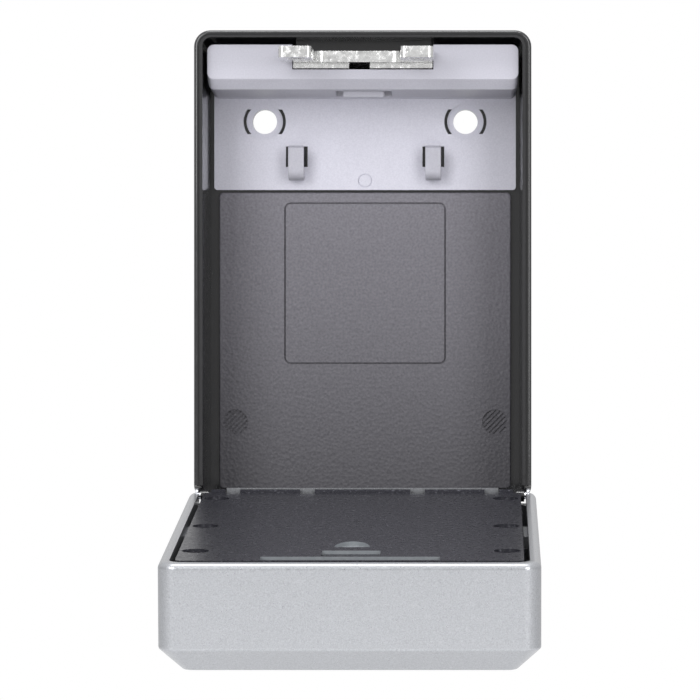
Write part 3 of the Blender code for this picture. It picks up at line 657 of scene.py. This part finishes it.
def make_hook_panel():
    piece = Piece("panel_moulding", [solid("Y", box_sections())])
    plate = rounded(-PANEL_X, PANEL_X, PANEL_BOTTOM, 56.0, 1.0, 4)
    piece.add([prism("Y", plate, PANEL_BACK, PANEL_Y)])
    piece.add([block(-6.2, 6.2, -24.0, -21.0, 52.25, 54.6)])
    hollow = [(-2.0, 55.0), (-28.6, 55.8), (-30.4, 58.0), (-30.4, 66.3), (-2.0, 66.3)]
    piece.cut([prism("X", hollow, -45.8, 45.8)])
    piece.cut([block(-WINDOW_X, WINDOW_X, -34.0, -2.5, WINDOW_BOTTOM, 69.0)])
    piece.cut([block(s * 7.45 - 1.15, s * 7.45 + 1.15, -25.0, -12.0, 51.0, 57.0) for s in (-1, 1)])
    cores = []
    crescents = []
    holes = []
    pads = []
    for side in (-1, 1):
        cores.append(block(side * HOOK_X - 3.4, side * HOOK_X + 3.4, -6.0, -2.5, HOOK_FLOOR, HOOK_TOP))
        holes.append(rod("Y", side * FIXING_X, FIXING_Z, FIXING_R, -6.0, -2.5, 64))
        pads.append(rod("Y", side * FIXING_X, FIXING_Z, 5.45, -6.0, PANEL_Y + 0.6, 64))
        for way in (-1, 1):
            outline = crescent(side * FIXING_X, FIXING_Z, 5.65, 6.6, 3.85, way)
            crescents.append(prism("Y", outline, -6.0, -2.5))
    piece.cut(cores)
    piece.cut(holes)
    piece.cut(pads)
    piece.cut(crescents)
    inner, outer = circle(0.0, 27.1, 1.85), circle(0.0, 27.1, 2.2)
    deep = PANEL_Y + 0.4
    piece.cut([ring("Y", [(outer, -6.0), (outer, deep), (inner, deep), (inner, -6.0)])])
    piece.ease(0.25, 3)
    finish_piece(piece, LIGHT, ["hook_panel"], "wall_body", False)


def hook_outline():
    """Side view of a hook: a root at the panel, a rounded floor and an upright tongue."""
    root = PANEL_Y - GAP
    throat = 1.6
    outline = [(root, HOOK_FOOT), (HOOK_OUTER_Y + 3.0, HOOK_FOOT)]
    outline += arc(HOOK_OUTER_Y + 3.0, HOOK_FOOT + 3.0, 3.0, 270.0, 180.0, 10)[1:]
    outline += [(HOOK_OUTER_Y, HOOK_TOP - 0.8), (HOOK_OUTER_Y + 0.8, HOOK_TOP)]
    outline += [(HOOK_INNER_Y - 0.4, HOOK_TOP), (HOOK_INNER_Y, HOOK_TOP - 0.4)]
    outline += arc(HOOK_INNER_Y + throat, HOOK_FLOOR - 1.0 + throat, throat, 180.0, 270.0, 8)
    outline += [(root, HOOK_FLOOR - 1.0)]
    return outline


def make_hooks():
    for side, label in ((-1, "left"), (1, "right")):
        low = side * HOOK_X - HOOK_WIDTH / 2.0
        piece = Piece("hook_" + label, [prism("X", hook_outline(), low, low + HOOK_WIDTH)])
        piece.ease(0.5, 3)
        finish_piece(piece, LIGHT, ["key_hook_" + label], "wall_body", False)


def hatching(x, z, radius):
    """Slanted grooves across a marked disc."""
    grooves = []
    half = 0.28
    for step in range(-3, 4):
        offset = step * 1.15
        reach = math.sqrt(radius * radius - offset * offset)
        bar = rectangle(-reach, reach, offset - half, offset + half)
        outline = [(x + SLANT * (u - v), z + SLANT * (u + v)) for u, v in bar]
        grooves.append(prism("Y", outline, -6.0, PANEL_Y + 0.75))
    return grooves


def make_liner():
    levels = [(0.0, PANEL_BACK)]
    levels += [(inset, PANEL_Y + depth) for inset, depth in reversed(quarter_round(0.5, 4))]
    sections = []
    for inset, level in levels:
        half = LINER_X - inset
        outline = rounded(-half, half, LINER_BOTTOM + inset, LINER_TOP - inset, 1.2, 6)
        sections.append((outline, level))
    piece = Piece("liner_plate", [solid("Y", sections)])
    outside = rounded(-25.2, 25.2, -30.1, 20.3, 2.0, 6)
    inside = rounded(-24.7, 24.7, -29.6, 19.8, 1.6, 6)
    deep = PANEL_Y + 0.9
    piece.cut([ring("Y", [(outside, -6.0), (outside, deep), (inside, deep), (inside, -6.0)])])
    for side in (-1, 1):
        x = side * LOWER_FIXING_X
        piece.cut([rod("Y", x, LOWER_FIXING_Z, 3.95, -6.0, PANEL_Y + 0.3)])
        piece.cut(hatching(x, LOWER_FIXING_Z, 3.7))
    piece.ease(0.08, 2)
    finish_piece(piece, LINER, ["back_liner"], "wall_body", False)


def strike_outline():
    """Forked plate seen from above: a neck in the body and two prongs toward the cover."""
    (left_out, left_in), (right_in, right_out) = PRONGS
    fillet = 3.0
    outline = [(STRIKE_NECK_X, -8.0), (STRIKE_NECK_X, -32.4), (right_out, -33.2)]
    outline += arc(right_out - 1.5, PRONG_TIP + 1.5, 1.5, 0.0, -90.0, 6)
    outline += arc(right_in + 1.5, PRONG_TIP + 1.5, 1.5, 270.0, 180.0, 6)
    outline += arc(right_in - fillet, STRIKE_FRONT - fillet, fillet, 0.0, 90.0, 8)
    outline += arc(left_in + fillet, STRIKE_FRONT - fillet, fillet, 90.0, 180.0, 8)
    outline += arc(left_in - 1.5, PRONG_TIP + 1.5, 1.5, 0.0, -90.0, 6)
    outline += arc(left_out + 1.5, PRONG_TIP + 1.5, 1.5, 270.0, 180.0, 6)
    outline += [(left_out, -35.4), (-STRIKE_NECK_X, -32.6), (-STRIKE_NECK_X, -8.0)]
    return outline


def flange_bodies():
    """Two short bars under the neck that line the window's lower edge."""
    side = [(-33.2, 60.5), (-33.2, 61.7), (-31.5, 61.7), (-31.5, STRIKE_LOW + 0.5)]
    side += [(-29.0, STRIKE_LOW + 0.5), (-29.0, 60.5)]
    return [prism("X", side, low, high) for low, high in FLANGES]


def make_strike():
    piece = Piece("strike_casting", [prism("Z", strike_outline(), STRIKE_LOW, STRIKE_HIGH)])
    keepers = []
    for low, high in PRONGS:
        middle = (low + high) / 2.0
        keepers.append(
            block(
                middle - KEEPER_HALF,
                middle + KEEPER_HALF,
                KEEPER_Y - KEEPER_HALF,
                KEEPER_Y + KEEPER_HALF,
                STRIKE_LOW - 1.0,
                STRIKE_HIGH + 1.0,
            )
        )
    piece.cut(keepers)
    piece.add(flange_bodies())
    piece.cut([rod("Z", s * STRIKE_SCREW_X, STRIKE_SCREW_Y, 1.8, 60.0, 67.0) for s in (-1, 1)])
    piece.ease(0.55, 4)
    finish_piece(piece, ZINC, ["strike_plate"], "wall_body", False)


# ------------------------------------------------------------ cover


def shell_sections():
    """Cover from rim to face: rounded rim edge, straight wall, bevelled face."""
    pairs = [(inset, RIM_Y - depth) for inset, depth in quarter_round(RIM_ROUND, 8)]
    soft = 1.2
    bend = soft * math.tan(math.radians(22.5))
    corner_y = FACE_Y + DOOR_CHAMFER
    for step in range(6):
        turn = math.radians(45.0 * step / 5)
        pairs.append((soft * (1.0 - math.cos(turn)), corner_y + bend - soft * math.sin(turn)))
    for step in range(6):
        turn = math.radians(45.0 + 45.0 * step / 5)
        inset = DOOR_CHAMFER + bend - soft * math.cos(turn)
        pairs.append((inset, FACE_Y + soft - soft * math.sin(turn)))
    made = []
    for ease, level in pairs:
        inset = ease + SKIN
        radius = max(BODY_CORNER - inset * 0.45, 2.5)
        if level > RIM_Y - RIM_ROUND:
            radius = BODY_CORNER - inset
        outline = rounded(-DOOR_X + inset, DOOR_X - inset, -DOOR_Z + inset, DOOR_Z - inset, radius)
        made.append((outline, level))
    return made


def shell_hollow():
    sections = []
    for inset, level in ((0.0, -32.0), (0.0, FACE_Y + 7.3), (4.8, FACE_Y + 2.5)):
        outline = rounded(
            -DOOR_INNER_X + inset,
            DOOR_INNER_X - inset,
            DOOR_INNER_LOW + inset,
            DOOR_INNER_TOP - inset,
            4.0,
        )
        sections.append((outline, level))
    return sections


def wheel_centres():
    first = -WHEEL_PITCH * (WHEEL_COUNT - 1) / 2.0
    return [first + WHEEL_PITCH * k for k in range(WHEEL_COUNT)]


def knuckle_outline():
    """Low mound on the rim that holds the end of a hinge pin."""
    foot = -34.6
    mound = arc(-34.6, HINGE_Z, 1.9, 75.0, -75.0, 10)
    return [(foot, mound[0][1] + 0.1)] + mound + [(foot, mound[-1][1] - 0.1)]


def make_door_shell():
    piece = Piece("cover_casting", [solid("Y", shell_sections())])
    piece.cut([solid("Y", shell_hollow())])
    piece.add([block(-28.0, 28.0, FACE_Y + 2.0, FACE_Y + 5.0, -34.0, 50.5)])
    bay = [(-BAY_RAIL_X, BAY_FLOOR), (-BAY_RAIL_X, RAIL_Y), (-BAY_X, RAIL_Y), (-BAY_X, FACE_Y - 2.0)]
    bay += [(BAY_X, FACE_Y - 2.0), (BAY_X, RAIL_Y), (BAY_RAIL_X, RAIL_Y), (BAY_RAIL_X, BAY_FLOOR)]
    piece.cut([prism("Z", bay, BAY_LOW, BAY_TOP)])
    openings = [block(-3.4, 3.4, BAY_FLOOR - 0.6, BAY_FLOOR + 3.0, 31.7, 42.3)]
    for x in wheel_centres():
        low, high = WHEEL_Z - 8.0, WHEEL_Z + 8.0
        openings.append(block(x - 2.8, x + 2.8, BAY_FLOOR - 0.6, BAY_FLOOR + 3.0, low, high))
    piece.cut(openings)
    rests = []
    for side in (-1, 1):
        low, high = sorted((side * 48.6, side * 50.4))
        rests.append(block(low, high, -40.0, -36.4, -14.0, 6.0))
    piece.add(rests)
    piece.add([block(-41.5, 41.5, -36.0, -32.7, -71.4, -70.1)])
    notches = []
    knuckles = []
    bores = []
    for side in (-1, 1):
        low, high = sorted((side * 46.7, side * 50.0))
        notches.append(block(low, high, -37.7, -30.0, -75.0, -67.0))
        low, high = sorted((side * 50.15, side * 51.0))
        knuckles.append(prism("X", knuckle_outline(), low, high))
        bores.append(rod("X", HINGE_Y, HINGE_Z, PIN_R + 0.07, side * 49.0, side * 50.9))
    piece.cut(notches)
    piece.add(knuckles)
    piece.cut(bores)
    piece.ease(0.18, 2)
    finish_piece(piece, SILVER, ["door_shell"], "cover", True)


def plate_outline():
    """Inner plate of the cover, its hinge corners stepped around the ears."""
    step_x = 46.4
    step_z = -67.6
    edge = []
    for x in NOTCH_X:
        low, high = x - NOTCH_HALF, x + NOTCH_HALF
        edge += [(low, PLATE_LOW), (low, PLATE_LOW + 3.8), (high, PLATE_LOW + 3.8), (high, PLATE_LOW)]
    outline = [(-step_x, PLATE_LOW)] + edge + [(step_x, PLATE_LOW), (step_x, step_z), (PLATE_X, step_z)]
    outline += arc(PLATE_X - 2.0, PLATE_TOP - 2.0, 2.0, 0.0, 90.0, 8)
    outline += arc(-PLATE_X + 2.0, PLATE_TOP - 2.0, 2.0, 90.0, 180.0, 8)
    return outline + [(-PLATE_X, step_z), (-step_x, step_z)]


def plate_lip():
    """Low lip along the plate's hinge edge, in lengths between the notches."""
    ends = [-46.0]
    for x in NOTCH_X:
        ends += [x - NOTCH_HALF, x + NOTCH_HALF]
    ends.append(46.0)
    foot = PLATE_FRONT - 0.4
    side = [(foot, PLATE_LOW), (PLATE_LIP, PLATE_LOW)]
    side += [(PLATE_LIP, PLATE_LOW + 0.8), (foot, PLATE_LOW + 3.4)]
    return [prism("X", side, low, high) for low, high in zip(ends[::2], ends[1::2])]


def thumb_outline(steps):
    """Half oval, round toward the hinge and flat toward the free end."""
    points = []
    for step in range(steps + 1):
        angle = math.radians(180.0 + 180.0 * step / steps)
        points.append((5.0 * math.cos(angle), THUMB_FLAT + THUMB_LENGTH * math.sin(angle)))
    return points


def make_back_plate():
    piece = Piece("cover_plate", [prism("Y", plate_outline(), PLATE_BACK, PLATE_FRONT)])
    recesses = []
    bores = []
    for z in DOOR_SCREW_Z:
        for side in (-1, 1):
            recesses.append(rod("Y", side * DOOR_SCREW_X, z, 3.85, PLATE_BACK + 0.6, -33.0))
            bores.append(rod("Y", side * DOOR_SCREW_X, z, 1.7, -37.0, -33.0))
    piece.add(plate_lip())
    piece.cut(recesses)
    piece.cut(bores)
    openings = [
        prism("Y", rounded(-24.9, 24.9, 62.0, 68.2, 0.15, 2), -37.0, -33.0),
        prism("Y", rounded(-8.2, 8.2, CODE_LOW, CODE_HIGH, 0.6, 4), -37.0, -33.0),
        rod("Y", 0.0, -6.0, 1.0, -37.0, -33.0),
    ]
    piece.cut(openings)
    piece.cut([prism("Y", thumb_outline(24), PLATE_FRONT - 1.2, -33.0)])
    piece.ease(0.2, 3)
    # painted highlight: the plate's cut walls that face the light and the thumb recess get a light grey
    finish_piece(piece, SATIN, ["door_back_plate"], "cover", True, HIGHLIGHT_PAINT, bare_edge)


def bare_edge(centre):
    """Slot walls on their hinge side, and the thumb recess, which take the painted highlight grey."""
    if abs(centre.x) < 24.95 and 61.9 < centre.z < 62.6 and centre.y < PLATE_FRONT - 0.05:
        return centre.y > PLATE_FRONT - 1.5
    if abs(centre.x) < 8.25 and CODE_LOW - 0.1 < centre.z < CODE_LOW + 0.6:
        return centre.y < PLATE_FRONT - 0.05
    in_thumb = abs(centre.x) < 5.2 and THUMB_FLAT - THUMB_LENGTH - 0.2 < centre.z < THUMB_FLAT + 0.2
    return in_thumb and PLATE_FRONT - 1.4 < centre.y < PLATE_FRONT - 0.05


def make_door_screws():
    number = 0
    for z in DOOR_SCREW_Z:
        for side in (-1, 1):
            number += 1
            x = side * DOOR_SCREW_X
            steps = [(2.5, -34.8), (2.9, -34.88), (3.1, -35.05), (3.1, -35.3)]
            steps += [(1.4, -35.3), (1.4, -45.0), (0.8, -46.0)]
            piece = Piece("cover_screw_%d" % number, [stepped_rod("Y", x, z, steps)])
            cross = [(0.35, 1.7), (0.35, 0.35), (1.7, 0.35)]
            arms = [(x + u, z + v) for u, v in cross]
            arms += [(x + u, z - v) for u, v in reversed(cross)]
            arms += [(x - u, z - v) for u, v in cross]
            arms += [(x - u, z + v) for u, v in reversed(cross)]
            piece.cut([prism("Y", arms, -35.2, -33.0)])
            finish_piece(piece, DARK_STEEL, ["door_screw_%d" % number], "cover", True)


def make_wheels():
    """Code wheels, each with ten faces, grip grooves between them and a digit on each."""
    sides = 12 * WHEEL_FACES
    for number, x in enumerate(wheel_centres(), 1):
        outer = []
        for k in range(sides):
            along = (k % 12) / 12.0
            groove = 0.5 * max(0.0, 1.0 - abs(along - 0.5) * 12.0)
            turn = 2.0 * math.pi * k / sides + math.pi
            reach = WHEEL_R - groove
            outer.append((WHEEL_Y + reach * math.cos(turn), WHEEL_Z + reach * math.sin(turn)))
        inner = circle(WHEEL_Y, WHEEL_Z, WHEEL_BORE, sides)
        low, high = x - WHEEL_HALF, x + WHEEL_HALF
        rim = ring("X", [(outer, low), (outer, high), (inner, high), (inner, low)])
        piece = Piece("code_wheel_%d" % number, [rim])
        piece.ease(0.2, 2, 60.0)
        nodes = ["dial_wheel_%d" % number]
        finish_piece(piece, SATIN, nodes, "dial_%d" % number, True)
        for face in range(WHEEL_FACES):
            add_digit(number, face, x, 360.0 * face / WHEEL_FACES)


def add_digit(number, face, x, angle):
    """A raised numeral on one face of a wheel."""
    curve = bpy.data.curves.new("digit_%d_%d" % (number, face), "FONT")
    curve.body = str(face)
    curve.size = DIGIT_SIZE * MM
    curve.extrude = 0.1 * MM
    curve.align_x = "CENTER"
    curve.align_y = "CENTER"
    curve.resolution_u = 3
    holder = bpy.data.objects.new("digit", curve)
    mesh = bpy.data.meshes.new_from_object(holder)
    bpy.data.objects.remove(holder)
    made = bpy.data.objects.new("digit_%d_%d" % (number, face), mesh)
    bpy.context.scene.collection.objects.link(made)
    mesh.materials.clear()
    mesh.materials.append(WHITE)
    centre = Vector((x, WHEEL_Y, WHEEL_Z)) * MM
    face_front = Matrix.Rotation(math.radians(90.0), 4, "X")
    outward = Matrix.Translation(Vector((0.0, -(WHEEL_R - 0.02) * MM, 0.0)))
    turn = Matrix.Rotation(math.radians(-angle), 4, "X")
    mesh.transform(OPENING @ Matrix.Translation(centre) @ turn @ outward @ face_front)
    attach(made, "dial_%d" % number)


def make_bezel():
    outer = rounded(-16.5, 16.5, WHEEL_Z - 9.0, WHEEL_Z + 9.5, 1.5)
    piece = Piece("dial_frame", [prism("Y", outer, BAY_FLOOR - 0.95, BAY_FLOOR - GAP)])
    windows = []
    for x in wheel_centres():
        low, high = WHEEL_Z - 7.5, WHEEL_Z + 7.5
        windows.append(block(x - 2.75, x + 2.75, BAY_FLOOR - 2.0, BAY_FLOOR + 1.0, low, high))
    piece.cut(windows)
    piece.ease(0.12, 2)
    finish_piece(piece, SATIN, ["dial_bezel"], "cover", True)


def make_weather_cover():
    """Sliding shutter that hides the dials, parked below them."""
    low = BAY_LOW + 0.2
    high = low + COVER_LENGTH
    face = FACE_Y + 0.2
    flange = RAIL_Y + 0.3
    base = BAY_FLOOR - GAP
    outline = [(-25.1, base), (-25.1, flange), (-23.6, flange), (-23.6, face)]
    outline += [(23.6, face), (23.6, flange), (25.1, flange), (25.1, base)]
    piece = Piece("shutter", [prism("Z", outline, low, high)])
    piece.cut([block(-17.2, 17.2, FACE_Y + 1.3, BAY_FLOOR + 1.0, low + 2.0, high + 2.0)])
    piece.cut([block(-10.0, 10.0, FACE_Y - 1.0, face + 0.4, z - 0.5, z + 0.5) for z in (-2.0, 0.5, 3.0)])
    piece.ease(0.18, 2)
    finish_piece(piece, SATIN, ["weather_cover"], "shutter", True)


def coil_points(x, low, high, radius, turns, per_turn):
    """Centre line of a compression spring with flat end turns."""
    points = []
    total = turns * per_turn
    for k in range(total + 1):
        share = k / total
        eased = min(max((share * turns - 0.75) / (turns - 1.5), 0.0), 1.0)
        angle = 2.0 * math.pi * share * turns
        across = x + radius * math.cos(angle)
        points.append((across, SPRING_Y + radius * math.sin(angle), low + (high - low) * eased))
    return points


def make_springs():
    """Latch springs, which on the real lock shorten toward their fixed ends as the latch is drawn back;
    here each is one fixed coil.
    """
    wire = 0.35
    high = LATCH_LOW - GAP
    for side, label in ((-1, "left"), (1, "right")):
        points = coil_points(side * SPRING_X, SPRING_LOW + wire, high - wire, 1.9, 6, 32)
        curve = bpy.data.curves.new("coil_" + label, "CURVE")
        curve.dimensions = "3D"
        curve.bevel_depth = wire * MM
        curve.bevel_resolution = 3
        curve.use_fill_caps = True
        line = curve.splines.new("POLY")
        line.points.add(len(points) - 1)
        for target, point in zip(line.points, points):
            target.co = (*(Vector(point) * MM), 1.0)
        holder = bpy.data.objects.new("coil", curve)
        mesh = bpy.data.meshes.new_from_object(holder)
        bpy.data.objects.remove(holder)
        mesh.transform(OPENING)
        mesh.materials.clear()
        mesh.materials.append(STEEL)
        spring = bpy.data.objects.new("coil_spring_" + label, mesh)
        bpy.context.scene.collection.objects.link(spring)
        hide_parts("latch_spring_" + label)
        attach(spring, "cover")
        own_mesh(spring)


def dress_cad_nodes():
    """Materials for the CAD nodes that keep their own shape."""
    looks = {
        "strike_screw_left": STEEL,
        "strike_screw_right": STEEL,
        "hinge_pin_left": STEEL,
        "hinge_pin_right": STEEL,
        "dial_shaft": STEEL,
        "detent_spring": STEEL,
        "latch_slide": ZINC,
        "release_slider": SATIN,
        "code_change_slider": SATIN,
    }
    for number in range(1, WHEEL_COUNT + 1):
        looks["dial_cam_%d" % number] = ZINC
    for name, material in looks.items():
        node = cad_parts[name]
        for place in node.material_slots:
            place.material = material


# ------------------------------------------------------------ stage


def make_stage():
    half = FLOOR_HALF
    floor = shape("floor", [block(-half, half, -half, half, FLOOR_Z - 2.0, FLOOR_Z)])
    floor.data.materials.append(pale_floor())
    make_world()


def make_world():
    """White studio: plain white behind the object, a soft overhead glow for its light."""
    world = bpy.data.worlds.new("studio")
    world.use_nodes = True
    nodes = world.node_tree.nodes
    links = world.node_tree.links
    shade = nodes["Background"]
    shade.inputs["Color"].default_value = (1.0, 1.0, 1.0, 1.0)
    direction = nodes.new("ShaderNodeTexCoord").outputs["Generated"]
    split = nodes.new("ShaderNodeSeparateXYZ")
    links.new(direction, split.inputs["Vector"])
    glow = nodes.new("ShaderNodeMapRange")
    glow.inputs["From Min"].default_value = -0.6
    glow.inputs["From Max"].default_value = 0.9
    glow.inputs["To Min"].default_value = GLOW_LOW
    glow.inputs["To Max"].default_value = GLOW_HIGH
    links.new(split.outputs["Z"], glow.inputs["Value"])
    rays = nodes.new("ShaderNodeLightPath")
    choose = nodes.new("ShaderNodeMix")
    choose.data_type = "FLOAT"
    links.new(rays.outputs["Is Camera Ray"], choose.inputs["Factor"])
    links.new(glow.outputs["Result"], choose.inputs["A"])
    choose.inputs["B"].default_value = 1.0
    links.new(choose.outputs["Result"], shade.inputs["Strength"])
    bpy.context.scene.world = world
    bpy.context.scene.view_settings.view_transform = "Standard"


def add_area(name, place, target, width, height, power):
    """A rectangular area light, in metres, turned toward its target."""
    light = bpy.data.lights.new(name, "AREA")
    light.shape = "RECTANGLE"
    light.size = width
    light.size_y = height
    light.energy = power
    made = bpy.data.objects.new(name, light)
    made.location = place
    direction = Vector(target) - Vector(place)
    made.rotation_euler = direction.to_track_quat("-Z", "Y").to_euler()
    bpy.context.scene.collection.objects.link(made)


def make_lights():
    for light in LIGHTS:
        add_area(*light)


def make_camera():
    camera = bpy.data.cameras.new("camera")
    camera.lens = CAMERA_LENS
    camera.sensor_width = 36.0
    camera.shift_x = CAMERA_SHIFT
    camera.clip_end = 50.0
    made = bpy.data.objects.new("camera", camera)
    made.location = Vector(CAMERA) * MM
    made.rotation_euler = (math.radians(90.0), 0.0, 0.0)
    bpy.context.scene.collection.objects.link(made)
    bpy.context.scene.camera = made


make_housing()
make_hook_panel()
make_hooks()
make_liner()
make_strike()
make_door_shell()
make_back_plate()
make_door_screws()
make_wheels()
make_bezel()
make_weather_cover()
make_springs()
dress_cad_nodes()
make_stage()
make_lights()
make_camera()
